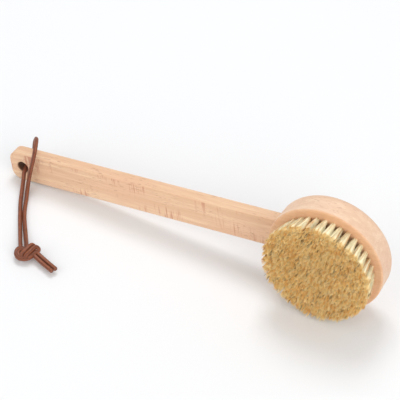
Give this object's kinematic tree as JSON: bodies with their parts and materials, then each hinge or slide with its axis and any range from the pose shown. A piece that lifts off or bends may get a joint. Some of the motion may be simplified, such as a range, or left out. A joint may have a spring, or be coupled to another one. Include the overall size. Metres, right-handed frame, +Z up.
{
  "type": "body dry brush",
  "caption": "Long handled dry body brush: round beech head with a domed field of natural bristle tufts, flat bar handle and a knotted leather hanging lace.",
  "frame": {"origin": "on the floor under the middle of the bounding box of the brush without its lace, as it stands on the rim of its head and the end of its handle", "axes": "+Z up; +X from the handle's end to the head, level with the floor; +Y out of the head's back, so the bristles face -Y"},
  "size_m": [0.359, 0.1096, 0.1],
  "materials": {
    "beech_head": "fine sanded, lightly oiled",
    "beech_handle": "fine sanded, lightly oiled",
    "bristle": "natural pale boar bristle, cut ends darker",
    "staple_wire": "drawn flat wire",
    "lace_leather": "smooth brown round thong"
  },
  "bodies": {
    "root": {"head_block": "beech_head", "handle": "beech_handle", "tufts_centre": "bristle", "tufts_ring_1": "bristle", "tufts_ring_2": "bristle", "tufts_ring_3": "bristle", "tufts_ring_4": "bristle", "tufts_ring_5": "bristle", "tufts_ring_6": "bristle", "staples_centre": "staple_wire", "staples_ring_1": "staple_wire", "staples_ring_2": "staple_wire", "staples_ring_3": "staple_wire", "staples_ring_4": "staple_wire", "staples_ring_5": "staple_wire", "staples_ring_6": "staple_wire", "lace_short_strand": "lace_leather", "lace_long_strand": "lace_leather", "lace_knot": "lace_leather"}
  },
  "joints": []
}
